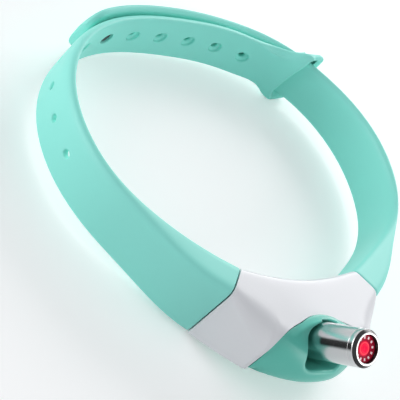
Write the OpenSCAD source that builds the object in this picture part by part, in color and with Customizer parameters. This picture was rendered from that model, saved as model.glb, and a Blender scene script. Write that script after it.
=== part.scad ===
// Pet collar with a laser: a silicone neck strap with a small case whose laser barrel tilts in a pocket.
// The collar lies on its back edge: z = 0 is the rest plane, +Z is the strap's axis, the case is at -Y.

/* [Neck loop] */
// Half the inside width of the loop
loop_half_width = 50; // [46:0.5:56]
// From the loop's middle to the strap opposite the case
loop_top = 41; // [38:0.5:46]
// From the loop's middle to the strap line under the case
loop_bottom = 45; // [43:0.5:48]

/* [Straps] */
// Width of both straps
strap_width = 15; // [13:0.5:17]
// Thickness of both straps
strap_thickness = 2.6; // [2.2:0.1:2.8]
// Gap between the two straps where they lie on each other
strap_gap = 0.25; // [0.2:0.05:0.4]
// Angle that the thick root takes to thin down to the strap
taper_angle = 36; // [28:1:44]
// Angle that the long strap's root takes to narrow down to the strap's width
narrow_long = 120; // [100:2:130]
// Angle that the short strap's root takes to narrow down to the strap's width
narrow_short = 94; // [80:2:96]
// Holes in the long strap
hole_count = 11; // [7:1:12]
// Holes between the stud and the keeper
stud_hole = 5; // [4:1:5]
// Distance from hole to hole
hole_pitch = 9.8; // [8:0.2:10.4]
// Width of a hole at the strap's outer face, as stretched over the stud
hole_neck = 2.8; // [2.6:0.1:3.2]
// Width of the hole's step at the strap's inner face
hole_step = 4; // [3.6:0.1:4.6]
// Angle from the case to the stud, round the loop
stud_angle = 214; // [206:1:218]
// Length of the tail beyond the stud
tail_end = 8; // [7.5:0.5:12]
// Length of the tail that peels off, up to the stud
peel_length = 24; // [20:1:28]

/* [Keeper] */
// Angle from the case to the keeper's open end, round the loop
keeper_angle = 131; // [126:0.5:136]
// Length of the keeper along the strap
keeper_length = 7; // [6.5:0.5:8.5]
// Thickness of the keeper's bridge and sides
keeper_wall = 1.9; // [1.6:0.1:2.1]
// Clearance round the strap inside the keeper
keeper_gap = 0.3; // [0.2:0.05:0.4]

/* [Case] */
// How much higher the case is than the straps are wide
case_over = 4.7; // [4.6:0.1:5.8]
// Angle from the case's middle to each strap seam
case_angle = 30; // [29:0.5:31]
// Case depth inside the strap line at the seams
root_inside = 3.6; // [3.2:0.1:4]
// Case depth outside the strap line at the seams
root_outside = 5.7; // [5.4:0.1:6.2]
// Case depth inside the strap line at its middle
middle_inside = 6; // [5.6:0.1:6.4]
// Half the distance between the ends of the two slanted faces
facet_half = 17; // [16:0.25:18]
// Distance from the strap line out to the ends of the slanted faces
facet_reach = 11.4; // [11:0.2:12.4]
// Distance from the strap line out to the pod's outermost point
pod_reach = 18.2; // [18:0.2:20]
// How far the seams lean in towards the case's middle at the neck side, as an angle
seam_lean = 2; // [0:0.25:2.5]
// Distance inside the strap line where the case's back starts to rise into the belly
belly_start = 1.8; // [1.5:0.1:2.1]
// Slope of the back where it starts to rise
belly_slope = 17; // [14:1:18]
// Radius of the belly from there to the pod's outermost point
belly_radius = 74; // [70:1:90]
// Wall of the cover
cover_wall = 1.6; // [1.4:0.1:1.8]
// Thickness of the case's back
back_wall = 1.8; // [1.6:0.1:2.2]
// Radius of the cover's arch over the pod
arch_radius = 28; // [26:0.5:30]
// Clearance between case pieces that fit in each other
fit_gap = 0.15; // [0.1:0.05:0.2]

/* [Laser head] */
// Angle of the barrel from the strap's axis
head_tilt = 36; // [33:1:39]
// How far the barrel can tilt down from there
head_travel = 12; // [8:1:14]
// Outside width of the barrel
barrel_diameter = 9.5; // [9:0.1:9.9]
// Length of the barrel from its pivot
barrel_length = 21; // [19:0.2:23]
// Wall of the barrel
barrel_wall = 1; // [0.9:0.05:1.1]
// Length of the bezel in front of the barrel
bezel_length = 2.3; // [2:0.1:2.8]
// Distance of the pivot outside the strap line
pivot_reach = 5.8; // [5.6:0.1:6.2]
// Height of the pivot over the rest plane
pivot_height = 11; // [10.8:0.1:11.4]
// Width of the trunnion pins
trunnion_diameter = 3.2; // [2.8:0.1:3.4]
// Radial clearance of the trunnion pins in the pod
trunnion_clearance = 0.04; // [0.02:0.01:0.08]
// Clearance between the barrel and the pocket's upper side
pocket_gap = 0.35; // [0.3:0.05:0.5]
// Notches in the lens nut
nut_notches = 12; // [8:1:16]

/* [Controls] */
// Width of the power button
button_diameter = 6; // [5:0.2:6.6]
// Travel of the power button
button_travel = 0.6; // [0.4:0.05:0.7]
// Width of a charging contact
contact_diameter = 2.2; // [1.8:0.1:2.4]

/* [Hidden] */
$fn = 48;

mint = [0.5, 0.85, 0.79];
white = [0.92, 0.93, 0.95];
metal = [0.75, 0.76, 0.78];
dark = [0.1, 0.1, 0.11];
red = [0.75, 0.05, 0.05];
brass = [0.78, 0.62, 0.3];
green = [0.1, 0.35, 0.2];

loop_level = (loop_top + loop_bottom) / 2;
loop_mean = (loop_half_width + loop_level) / 2;
loop_oval = (loop_half_width - loop_level) / 2;
loop_egg = (loop_bottom - loop_top) / 2;
case_height = strap_width + case_over;
strap_back = keeper_wall + keeper_gap;
strap_front = strap_back + strap_width;
strap_middle = strap_back + strap_width / 2;
outer_lift = strap_thickness + strap_gap;
edge_radius = strap_thickness * 0.42;
step_angle = 4;

// Curve of the loop's inside, by the angle from the case
function ray(a) = [sin(a), -cos(a)];
function along(a) = [cos(a), sin(a)];
function loop_r(a) = loop_mean - loop_oval * cos(2 * a) + loop_egg * cos(3 * a);
function loop_grow(a) = 2 * loop_oval * sin(2 * a) - 3 * loop_egg * sin(3 * a);
function out_dir(a) = let (v = loop_r(a) * ray(a) - loop_grow(a) * along(a)) v / norm(v);
function out_turn(a) = let (v = out_dir(a)) atan2(v[1], v[0]);
function at(a, off) = loop_r(a) * ray(a) + off * out_dir(a);
function at3(a, off, z) = let (p = at(a, off)) [p[0], p[1], z];
function ease(t) = t <= 0 ? 0 : t >= 1 ? 1 : t * t * (3 - 2 * t);
function mix(a, b, t) = a + (b - a) * t;
function blend4(a, b, t) = [for (i = [0:3]) [mix(a[i][0], b[i][0], t), mix(a[i][1], b[i][1], t)]];

// Arc length round the loop at half degree steps, to place holes by distance
arc_steps = [for (i = [0:500]) norm(at(i / 2 + 0.5, 0) - at(i / 2, 0))];
arc_sums = [for (i = 0, s = 0; i <= 500; s = s + arc_steps[i], i = i + 1) s];
arc_by_angle = [for (i = [0:500]) [i / 2, arc_sums[i]]];
angle_by_arc = [for (i = [0:500]) [arc_sums[i], i / 2]];
function arc_at(a) = lookup(a, arc_by_angle);
function angle_at(s) = lookup(s, angle_by_arc);

stud_arc = arc_at(stud_angle);
tip_angle = angle_at(stud_arc + tail_end);
split_angle = angle_at(stud_arc - peel_length);
keeper_end = angle_at(arc_at(keeper_angle) + keeper_length);

// Rounded four-corner section: corners are inner back, outer back, outer front, inner front
function corner(c, r, from, n) = [for (k = [0:n]) let (t = from + 90 * k / n) c + [r[0] * cos(t), r[1] * sin(t)]];
function section(in, out, z0, z1, r, n = 3) = concat(
    corner([in + r[0][0], z0 + r[0][1]], r[0], 180, n),
    corner([out - r[1][0], z0 + r[1][1]], r[1], 270, n),
    corner([out - r[2][0], z1 - r[2][1]], r[2], 0, n),
    corner([in + r[3][0], z1 - r[3][1]], r[3], 90, n));
function ring(a, sec) = [for (q = sec) at3(a, q[0], q[1])];
function leaned(a, sec, share) = [for (q = sec)
    at3(a - seam_lean * share * (root_outside - q[0]) / (root_inside + root_outside), q[0], q[1])];
function slanted(a, sec, rate) = [for (q = sec) at3(a - rate * q[0], q[0], q[1])];

// Solid through a row of equal rings
module sweep(rings) {
    n = len(rings[0]);
    m = len(rings);
    sides = [for (i = [0:m - 2]) for (j = [0:n - 1]) for (h = [0:1])
        let (k = (j + 1) % n, p = i * n, q = (i + 1) * n)
        h == 0 ? [p + j, p + k, q + k] : [p + j, q + k, q + j]];
    ends = [[for (j = [n - 1:-1:0]) j], [for (j = [0:n - 1]) (m - 1) * n + j]];
    polyhedron(points = [for (r = rings) each r], faces = concat(sides, ends), convexity = 8);
}

function even(r) = [for (i = [0:3]) [r, r]];
function steps(from, to, step) = let (n = max(1, ceil(abs(to - from) / step)))
    [for (i = [0:n]) from + (to - from) * i / n];

// Case: slanted faces, pod curve and neck side, all by angle
seam_out = at(case_angle, root_outside);
facet_end = [facet_half, -loop_bottom - facet_reach];
facet_run = facet_end - seam_out;
facet_length = norm(facet_run);
facet_dir = facet_run / facet_length;
facet_turn = atan2(facet_dir[1], facet_dir[0]) + 90;
facet_angle = atan2(facet_end[0], -facet_end[1]);
pod_sag = pod_reach - facet_reach;
pod_radius = (facet_half * facet_half + pod_sag * pod_sag) / (2 * pod_sag);
pod_centre = loop_bottom + pod_reach - pod_radius;
function cross2(a, b) = a[0] * b[1] - a[1] * b[0];
function facet_r(a) = cross2(seam_out, facet_dir) / cross2(ray(a), facet_dir);
function pod_r(a) = pod_centre * cos(a) + sqrt(pow(pod_radius, 2) - pow(pod_centre * sin(a), 2));
function case_out(a) = let (b = abs(a)) (b >= facet_angle ? facet_r(b) : pod_r(b)) - loop_r(b);
function case_in(a) = -mix(middle_inside, root_inside, pow(a / case_angle, 2));
function pod_share(a) = let (b = abs(a)) b >= facet_angle ? 0 : pow(cos(90 * b / facet_angle), 2);
root_corners = [[1.2, 1.2], [1.6, 1.6], [2.2, 2.2], [1.6, 1.6]];
pod_corners = [[1.2, 1.2], [5, 5.6], [2.6, 2.6], [1.6, 1.6]];
function case_corners(a) = blend4(root_corners, pod_corners, pod_share(a));
function case_section(a, inset, z0, z1, r) = section(case_in(a) + inset, case_out(a) - inset, z0, z1, r);

// The case's outer form, with the slope of its back
module case_body() {
    stops = concat(steps(-case_angle, -facet_angle, 5), steps(-facet_angle + 2, facet_angle - 2, 3),
        steps(facet_angle, case_angle, 5));
    intersection() {
        sweep([for (a = stops) leaned(a, case_section(a, 0, 0, case_height, case_corners(a)),
            sign(a) * pow(abs(a) / case_angle, 4))]);
        belly(0);
    }
}

// Round form whose lower side is the belly
belly_y = -loop_bottom + belly_start + belly_radius * sin(belly_slope);
belly_z = belly_radius * cos(belly_slope);
module belly(grow) {
    translate([-40, belly_y, belly_z]) rotate([0, 90, 0]) cylinder(r = belly_radius + grow, h = 80, $fn = 240);
}

// The room inside the cover, open at the back
module case_room(inset, z0, z1, from) {
    sweep([for (a = steps(-from, from, 3.5)) ring(a, case_section(a, inset, z0, z1, even(0.9)))]);
}

// Back plate: the flat part and the belly, each as thick as the back wall
module back_slabs() {
    intersection() {
        case_room(cover_wall + fit_gap, -3, 14, end_room() - 0.3);
        union() {
            translate([-39, -loop_bottom + belly_start - 0.4, -1]) cube([78, 40, back_wall + 1]);
            difference() {
                belly(2);
                belly(-back_wall);
            }
        }
    }
}

function end_room() = case_angle - 3.6;

// Straps: a thick root at the case's seam that thins down to the strap
function strap_ease(a) = ease((a - case_angle) / taper_angle);
function inner_ease(a) = ease((a - case_angle) / (taper_angle * 1.48));
function wide_ease(a, full) = pow(min(1, max(0, (a - case_angle) / full)), 0.8);
function strap_section(a, lift, wide, tip, full) = let (e = strap_ease(a), w = wide_ease(a, full))
    section(mix(-root_inside, lift, inner_ease(a)), mix(root_outside, lift + strap_thickness, e),
        mix(0, strap_back, w) - wide + tip, mix(case_height, strap_front, w) + wide - tip,
        blend4(root_corners, even(edge_radius), e));
tongue_in = -0.9;
tongue_out = 2.9;
tongue_length = 7.8;
seam_start = case_angle + 0.15;
tongue_back = back_wall + 2;
tongue_front = case_height - cover_wall - 2;
pin_angle = case_angle - 5.4;
pin_off = (tongue_in + tongue_out) / 2;
pin_radius = 1.2;

module tongue(grow, from, to) {
    sweep([for (a = steps(from, to, 2)) ring(a, section(tongue_in - grow, tongue_out + grow,
        tongue_back - grow, tongue_front + grow, even(0.6)))]);
}

module strap_root_cut() {
    translate(at3(pin_angle, pin_off, 0)) cylinder(r = pin_radius + 0.1, h = case_height);
}

// Frame at an angle of the loop: local z points outward
module out_frame(a, off, z) {
    translate(at3(a, off, z)) rotate([0, 90, out_turn(a)]) children();
}

module strap_hole(a) {
    out_frame(a, 0, strap_middle) {
        translate([0, 0, -1]) cylinder(d = hole_step, h = 1 + strap_thickness * 0.45);
        translate([0, 0, -1]) cylinder(d = hole_neck, h = strap_thickness + 2);
    }
}

keeper_slant = 0.85;
keeper_far_slant = 1.4;
keeper_far_wall = keeper_wall * 0.22;
keeper_top = 2 * strap_thickness + strap_gap + keeper_gap;

// The keeper's sides and bridge thin down from its open end to where they meet the strap
module keeper_form() {
    span = keeper_end - keeper_angle;
    thinner = keeper_wall - keeper_far_wall;
    sweep([for (a = steps(keeper_angle, keeper_end, 2)) let (u = (a - keeper_angle) / span, t = ease(u))
        slanted(a, section(0, keeper_top + keeper_wall - thinner * t, thinner * t,
            2 * strap_back + strap_width - thinner * t, even(mix(1.3, 0.9, t))),
            mix(keeper_slant, keeper_far_slant, u))]);
}

module keeper_slot() {
    sweep([for (a = steps(keeper_angle - 9, keeper_end + 4, 2)) ring(a, section(strap_thickness,
        keeper_top, keeper_wall, strap_front + keeper_gap, even(0.9)))]);
}

// Long strap with its holes and the keeper at its far end
module strap_long() {
    flare = 15;
    flare_end = 360 - keeper_end + strap_thickness * keeper_far_slant + 0.5;
    flare_width = strap_back - keeper_wall + keeper_far_wall;
    flare_start = flare_end - flare;
    first = arc_at(360 - stud_angle) + stud_hole * hole_pitch;
    stops = concat(steps(seam_start, flare_start, step_angle), steps(flare_start + 2, flare_end, 3));
    color(mint) mirror([1, 0, 0]) difference() {
        union() {
            sweep([for (a = stops) let (wide = flare_width * ease((a - flare_start) / flare))
                leaned(a, strap_section(a, 0, wide, 0, narrow_long), 1 - strap_ease(a))]);
            tongue(0, case_angle - tongue_length, case_angle + 1);
            mirror([1, 0, 0]) keeper_form();
        }
        strap_root_cut();
        mirror([1, 0, 0]) keeper_slot();
        for (i = [0:hole_count - 1]) strap_hole(angle_at(first - i * hole_pitch));
    }
}

// Short strap, from the case through the keeper to where its tail starts to peel
module strap_short() {
    color(mint) difference() {
        union() {
            sweep([for (a = steps(seam_start, split_angle, step_angle))
                leaned(a, strap_section(a, outer_lift, 0, 0, narrow_short), 1 - strap_ease(a))]);
            tongue(0, case_angle - tongue_length, case_angle + 1);
        }
        strap_root_cut();
    }
}

// Free tail with its rounded tip and the seat of the stud
function tip_round(a) = let (s = arc_at(tip_angle) - arc_at(a), r = strap_width * 0.42)
    s >= r ? 0 : r - sqrt(max(0, r * r - (r - s) * (r - s)));
module strap_tail() {
    stops = concat(steps(split_angle, tip_angle - 9, step_angle), steps(tip_angle - 7.5, tip_angle, 1.5));
    color(mint) difference() {
        sweep([for (a = stops) ring(a, strap_section(a, outer_lift, 0, tip_round(a), narrow_short))]);
        out_frame(stud_angle, outer_lift, strap_middle) {
            translate([0, 0, -1]) cylinder(d = stud_shank + 0.1, h = strap_thickness + 2);
            translate([0, 0, strap_thickness - stud_head]) cylinder(d = stud_width + 0.2, h = 2);
        }
    }
}

stud_shank = hole_neck - 0.5;
stud_head = 0.9;
stud_width = 6;

// Stud: flush head in the tail, shank through the long strap's hole
module clasp_stud() {
    color(dark) out_frame(stud_angle, 0, strap_middle) union() {
        translate([0, 0, outer_lift + strap_thickness - stud_head]) cylinder(d = stud_width, h = stud_head);
        translate([0, 0, 0.55]) cylinder(d = stud_shank, h = outer_lift + strap_thickness - 0.8);
        translate([0, 0, 0.35]) cylinder(d1 = stud_shank - 0.4, d2 = stud_shank, h = 0.2);
    }
}

pivot_y = -loop_bottom - pivot_reach;
barrel_r = barrel_diameter / 2;
bore_r = barrel_r - barrel_wall;
pocket_r = barrel_r + pocket_gap;
pocket_half = barrel_r + 0.85;
collar_r = pocket_r + 0.95;
pod_front = 9.6;
arch_y = -loop_bottom - 5.6 - arch_radius;

// Frame of the laser head: local z runs along the barrel from its pivot
module head_frame() {
    translate([0, pivot_y, pivot_height]) rotate([head_tilt, 0, 0]) children();
}

// Frame on the right slanted face: local z points out of it, local y towards the seam
module facet_frame(run, z) {
    p = seam_out + run * facet_dir;
    translate([p[0], p[1], z]) rotate([0, 90, facet_turn]) children();
}

button_run = 8.6;
button_z = case_height / 2 - 0.4;

module collar_form(grow) {
    head_frame() translate([0, 0, 2]) cylinder(r = collar_r + grow, h = pod_front - 1.7);
}

// White cover: front, neck side and both slanted faces, open at the back
module cover_shell() {
    color(white) difference() {
        union() {
            difference() {
                case_body();
                case_room(cover_wall, -2, case_height - cover_wall, end_room());
            }
            for (s = [-1, 1]) translate([s * screw_x, screw_y, back_wall + 0.3])
                cylinder(r = 1.9, h = case_height - cover_wall - back_wall);
            for (s = [-1, 1]) mirror([s > 0 ? 0 : 1, 0, 0])
                translate(at3(pin_angle, pin_off, tongue_front + 0.4))
                    cylinder(r = pin_radius + 0.9, h = case_height - cover_wall - tongue_front);
        }
        translate([0, arch_y, -1]) cylinder(r = arch_radius + fit_gap, h = case_height + 2, $fn = 96);
        collar_form(fit_gap);
        for (s = [0, 1]) mirror([s, 0, 0]) {
            tongue(0.15, case_angle - 7, case_angle + 2);
            translate(at3(pin_angle, pin_off, 0)) cylinder(r = pin_radius + 0.05, h = case_height - cover_wall);
        }
        for (s = [-1, 1]) translate([s * screw_x, screw_y, 0]) cylinder(r = 0.62, h = screw_length + 1.2);
        facet_frame(button_run, button_z) translate([0, 0, -4]) cylinder(d = button_diameter + 0.3, h = 8);
    }
}

switch_top = cover_wall + 1.7 + button_travel;
board_depth = switch_top + 1.5;
board_thick = 1;
board_from = facet_length * 0.37;
board_to = facet_length * 0.865;
board_low = back_height(board_at(board_to)) + 0.35;
board_high = case_height - cover_wall - 1.3;
screw_x = 9.9;
screw_y = -loop_bottom + 2.8;
screw_length = case_height / 2;
contact_depth = board_depth + board_thick + contact_diameter / 2;
function board_at(run) = seam_out[1] + run * facet_dir[1] - board_depth * facet_dir[0];
function back_height(y) = belly_z - sqrt(pow(belly_radius - back_wall, 2) - pow(y - belly_y, 2));
function contact_at(run) = seam_out + run * facet_dir + contact_depth * [facet_dir[1], -facet_dir[0]];

// Region behind the pod's sloping front
module pod_halfspace() {
    head_frame() translate([-60, -60, -120 + pod_front]) cube([120, 120, 120]);
}

// Pocket: room for the barrel through its whole tilt, square at the pivot, round at the top in front
function pocket_low(w) = -pocket_r / cos(head_travel) - max(0, w) * tan(head_travel);
function pocket_ring(w, a, b, c) = let (low = pocket_low(w), h = pocket_half, e = 1.8)
    [for (p = concat([for (i = [0:6]) [h - a + a * cos(15 * i), pocket_r - b + b * sin(15 * i)]],
        [for (i = [0:6]) [-h + a - a * sin(15 * i), pocket_r - b + b * cos(15 * i)]],
        [for (i = [0:3]) [-h + e - e * cos(30 * i), low + e - e * sin(30 * i)]],
        [for (i = [0:3]) [h - e + e * sin(30 * i), low + e - e * cos(30 * i)]])) [p[0], p[1] * c, w]];
module pocket() {
    wide = pocket_half - 0.3;
    head_frame() sweep(concat([pocket_ring(40, wide, pocket_r, 1), pocket_ring(3.8, wide, pocket_r, 1),
        pocket_ring(2.8, 1, 1, 1), pocket_ring(0, 1, 1, 1)],
        [for (k = [26, 52, 76]) pocket_ring(-pocket_r * sin(k), 1, 1, cos(k))]));
}

// Mint case: back plate, pod belly and the two cheeks that carry the trunnions
module pod_case() {
    cheek = 2.4;
    color(mint) difference() {
        union() {
            intersection() {
                case_body();
                union() {
                    intersection() {
                        translate([0, arch_y, -1]) cylinder(r = arch_radius, h = case_height + 2, $fn = 96);
                        pod_halfspace();
                    }
                    back_slabs();
                }
            }
            collar_form(0);
            for (s = [-1, 1]) translate([s * (pocket_half + cheek / 2 - 0.4) - cheek / 2, pivot_y - 4, back_wall - 0.6])
                cube([cheek, 4 + 3.6, pivot_height + 3.4 - back_wall + 0.6]);
        }
        pocket();
        translate([-pocket_half - 4, pivot_y, pivot_height]) rotate([0, 90, 0])
            cylinder(r = trunnion_diameter / 2 + trunnion_clearance, h = 2 * pocket_half + 8);
        for (s = [-1, 1]) {
            translate([s * screw_x, screw_y, -1]) cylinder(r = 0.95, h = 6);
            translate([s * screw_x, screw_y, -1]) cylinder(r = 1.4, h = 1.9);
        }
        for (s = [0, 1]) mirror([s, 0, 0]) translate(at3(pin_angle, pin_off, 0.7))
            cylinder(r = pin_radius + 0.05, h = 4);
        for (run = contact_runs) translate(concat(contact_at(run), [-1]))
            cylinder(d = contact_diameter + 0.1, h = 6);
    }
}

contact_top = board_low + 0.9;
contact_runs = [facet_length * 0.35, facet_length * 0.35 + contact_diameter + 0.8];

// Bright tube with a round root on the pivot
module laser_barrel() {
    color(metal) head_frame() difference() {
        union() {
            sphere(r = barrel_r);
            cylinder(r = barrel_r, h = barrel_length);
        }
        sphere(r = bore_r);
        cylinder(r = bore_r, h = barrel_length + 1);
        rotate([0, 90, 0]) translate([0, 0, -10]) cylinder(d = trunnion_diameter + 0.04, h = 20);
    }
}

// Dark bevelled ring on the front, with a spigot in the barrel
module barrel_bezel() {
    color(dark) head_frame() translate([0, 0, barrel_length]) rotate_extrude($fn = 64)
        polygon([[bore_r - 0.75, -1.6], [bore_r - 0.05, -1.6], [bore_r - 0.05, 0], [barrel_r, 0],
            [barrel_r, 0.5], [barrel_r - 0.95, bezel_length], [bore_r - 0.3, bezel_length],
            [bore_r - 0.3, 0.4], [bore_r - 0.75, 0.4]]);
}

module front_window() {
    color(red) head_frame() translate([0, 0, barrel_length + 0.4]) cylinder(r = bore_r - 0.35, h = 0.9);
}

nut_z = barrel_length - 2.4;
nut_r = bore_r - 0.85;
lens_r = nut_r - 1.05;

// Notched ring that holds the lens in the module
module lens_nut() {
    color(brass) head_frame() translate([0, 0, nut_z]) difference() {
        union() {
            cylinder(r = nut_r, h = 1.4);
            translate([0, 0, -3.2]) cylinder(r = nut_r - 0.4, h = 3.4);
        }
        translate([0, 0, -4]) cylinder(r = lens_r + 0.05, h = 8);
        for (i = [0:nut_notches - 1]) rotate([0, 0, 360 * i / nut_notches])
            translate([lens_r + 0.45, -0.22, 0.7]) cube([2, 0.44, 2]);
    }
}

// Lens with one curved face
module collimating_lens() {
    cap = 6;
    rise = cap - sqrt(cap * cap - lens_r * lens_r);
    color(red) head_frame() translate([0, 0, nut_z - 1]) union() {
        cylinder(r = lens_r, h = 1.1);
        intersection() {
            translate([0, 0, 1.1 + rise - cap]) sphere(r = cap);
            translate([0, 0, 0.5]) cylinder(r = lens_r, h = 3);
        }
    }
}

module_back = 4;
diode_seat = module_back + 4;

// Sleeve that carries diode and lens
module laser_module() {
    color(brass) head_frame() difference() {
        translate([0, 0, module_back]) cylinder(r = bore_r - 0.05, h = nut_z - module_back);
        translate([0, 0, module_back - 1]) cylinder(r = 2.85, h = diode_seat - module_back + 1);
        translate([0, 0, module_back]) cylinder(r = 1.9, h = nut_z - module_back);
        translate([0, 0, nut_z - 7]) cylinder(r = nut_r - 0.38, h = 8);
    }
}

module laser_diode() {
    color(metal) head_frame() union() {
        translate([0, 0, diode_seat - 1.2]) cylinder(r = 2.8, h = 1.2);
        translate([0, 0, diode_seat - 0.2]) cylinder(r = 1.78, h = 2.5);
        for (x = [-1, 1]) translate([x, 0, module_back]) cylinder(r = 0.23, h = diode_seat - module_back - 1, $fn = 16);
    }
}

module module_board() {
    color(green) head_frame() translate([0, 0, module_back - 0.8]) cylinder(r = bore_r - 0.1, h = 0.8);
}

// Two hollow pins that the barrel tilts on
module trunnion_pins() {
    color(metal) head_frame() for (s = [-1, 1]) rotate([0, 90 * s, 0]) difference() {
        translate([0, 0, 2.6]) cylinder(d = trunnion_diameter, h = pocket_half + 1.8 - 2.6);
        translate([0, 0, 2]) cylinder(r = 0.85, h = 10);
    }
}

// Washers between the barrel and the pod's cheeks
module friction_washers() {
    color(dark) head_frame() for (s = [-1, 1]) rotate([0, 90 * s, 0]) difference() {
        translate([0, 0, barrel_r + 0.05]) cylinder(r = trunnion_diameter / 2 + 1, h = pocket_half - barrel_r - 0.1);
        cylinder(d = trunnion_diameter + 0.04, h = 10);
    }
}

// Two wires from the right trunnion to the main board
module laser_leads() {
    color(red) for (s = [-1, 1]) translate([pocket_half - 0.6, pivot_y, pivot_height + s * 0.36])
        rotate([0, 90, 0]) cylinder(r = 0.32, h = board_inside(pivot_y) - pocket_half + 0.6, $fn = 16);
}

// Where the board's inner face is, for a lead at a given y
function board_inside(y) = let (q = seam_out + (board_depth + board_thick) * [facet_dir[1], -facet_dir[0]],
    t = (y - q[1]) / facet_dir[1]) q[0] + t * facet_dir[0] - 0.35;

// Board behind the right slanted face
module main_board() {
    color(green) facet_frame((board_from + board_to) / 2, 0)
        translate([-board_high, -(board_to - board_from) / 2, -board_depth - board_thick])
            cube([board_high - board_low, board_to - board_from, board_thick]);
}

cell_depth = 2.2;
cell_thick = 4.8;
cell_from = facet_length * 0.345;
cell_to = facet_length * 0.865;
cell_low = back_height(seam_out[1] + cell_to * facet_dir[1] - cell_depth * facet_dir[0]) + 0.35;
cell_high = case_height - cover_wall - 1.1;
function cell_inside(y) = let (q = seam_out + (cell_depth + cell_thick) * [facet_dir[1], -facet_dir[0]],
    t = (y - q[1]) / facet_dir[1]) -(q[0] + t * facet_dir[0]) + 0.1;

// Battery behind the left slanted face
module battery_cell() {
    color(metal) mirror([1, 0, 0]) facet_frame((cell_from + cell_to) / 2, 0)
        translate([-cell_high, -(cell_to - cell_from) / 2, -cell_depth - cell_thick])
            cube([cell_high - cell_low, cell_to - cell_from, cell_thick]);
}

lead_y = pivot_y + barrel_r + 0.9;
lead_radius = 0.4;
lead_z = contact_top + lead_radius + 0.5;
// Two wires from the battery to the main board, behind the barrel's root
module battery_leads() {
    color(dark) for (z = [lead_z, lead_z + 4.5 * lead_radius]) translate([cell_inside(lead_y) + 0.3, lead_y, z])
        rotate([0, 90, 0]) cylinder(r = lead_radius, h = board_inside(lead_y) - cell_inside(lead_y) - 0.3, $fn = 16);
}

module switch_body() {
    color(dark) facet_frame(button_run, button_z) difference() {
        translate([-2, -1.9, -board_depth]) cube([4, 3.8, board_depth - switch_top]);
        translate([0, 0, -board_depth + 0.4]) cylinder(r = 1, h = 4);
    }
}

module switch_plunger() {
    color(white) facet_frame(button_run, button_z) translate([0, 0, -switch_top - 0.3]) cylinder(r = 0.95, h = 1.2);
}

// Push button with a flange behind the cover's wall
module power_button() {
    color(mint) facet_frame(button_run, button_z) union() {
        translate([0, 0, -cover_wall - 0.5]) cylinder(d = button_diameter, h = cover_wall + 0.9);
        translate([0, 0, -cover_wall - 1]) cylinder(d = button_diameter + 1, h = 0.9);
        translate([0, 0, -switch_top + 0.9]) cylinder(r = 1, h = 0.6);
    }
}

// Two round pads for charging in the case's back
module charge_contacts() {
    color(brass) difference() {
        for (run = contact_runs) translate(concat(contact_at(run), [0.1]))
            cylinder(d = contact_diameter, h = contact_top - 0.1);
        difference() {
            belly(8);
            belly(-0.1);
        }
    }
}

// Pins through the straps' tongues
module strap_pins() {
    color(metal) for (s = [0, 1]) mirror([s, 0, 0])
        translate(at3(pin_angle, pin_off, 0.7)) cylinder(r = pin_radius, h = case_height - cover_wall - 0.8);
}

// Two screws that close the case from the back
module case_screws() {
    color(metal) for (s = [-1, 1]) translate([s * screw_x, screw_y, 0.1]) union() {
        cylinder(r = 1.3, h = 0.8);
        cylinder(r = 0.6, h = screw_length);
    }
}

strap_long();
strap_short();
strap_tail();
clasp_stud();
cover_shell();
pod_case();
laser_barrel();
barrel_bezel();
front_window();
lens_nut();
collimating_lens();
laser_module();
laser_diode();
module_board();
trunnion_pins();
friction_washers();
laser_leads();
main_board();
battery_cell();
battery_leads();
switch_body();
switch_plunger();
power_button();
charge_contacts();
strap_pins();
case_screws();
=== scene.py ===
"""Looks of a collar with a laser head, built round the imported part.

Sizes are worked in millimetres and kept in metres."""
import math
from bisect import bisect_left, bisect_right
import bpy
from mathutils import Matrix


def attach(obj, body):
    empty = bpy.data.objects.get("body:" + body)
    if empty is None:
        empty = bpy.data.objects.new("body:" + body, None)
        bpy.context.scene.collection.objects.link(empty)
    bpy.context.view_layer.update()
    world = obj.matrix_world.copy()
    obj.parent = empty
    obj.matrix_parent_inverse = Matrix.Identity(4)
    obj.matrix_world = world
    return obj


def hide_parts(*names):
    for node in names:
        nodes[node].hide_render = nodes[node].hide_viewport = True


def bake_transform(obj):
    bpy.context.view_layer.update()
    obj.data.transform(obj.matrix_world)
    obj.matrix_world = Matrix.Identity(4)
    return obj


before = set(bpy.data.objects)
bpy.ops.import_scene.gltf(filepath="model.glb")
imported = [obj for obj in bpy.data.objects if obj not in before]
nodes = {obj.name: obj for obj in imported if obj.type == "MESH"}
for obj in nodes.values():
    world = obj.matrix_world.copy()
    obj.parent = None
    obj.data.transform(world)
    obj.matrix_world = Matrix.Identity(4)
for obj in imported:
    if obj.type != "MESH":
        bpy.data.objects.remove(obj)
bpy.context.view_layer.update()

from types import SimpleNamespace

import bmesh
import bpy
from mathutils import Matrix, Vector

scene = bpy.context.scene
scene.view_settings.view_transform = "Standard"
MM = 0.001
UP = Vector((0, 0, 1))
EIGHTH_TURN = math.pi / 4
HEAD_TILT = math.radians(36)


# Helpers
def add_object(name, data):
    made = bpy.data.objects.new(name, data)
    scene.collection.objects.link(made)
    return made


def mesh_of(bm, name):
    mesh = bpy.data.meshes.new(name)
    bm.to_mesh(mesh)
    bm.free()
    return mesh


def add_node(tree, kind, **settings):
    node = tree.nodes.new(kind)
    for key, value in settings.items():
        setattr(node, key, value)
    return node


def fill(socket, value):
    """Links an input to another node's output, or gives it a plain value."""
    if isinstance(value, bpy.types.NodeSocket):
        socket.id_data.links.new(value, socket)
    else:
        socket.default_value = value


def feed(node, **inputs):
    """Fills a node's inputs, whose names are written with underscores for spaces."""
    for key, value in inputs.items():
        fill(node.inputs[key.replace("_", " ")], value)


def maths(tree, operation, *terms):
    node = add_node(tree, "ShaderNodeMath", operation=operation)
    for socket, value in zip(node.inputs, terms):
        fill(socket, value)
    return node.outputs[0]


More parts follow.
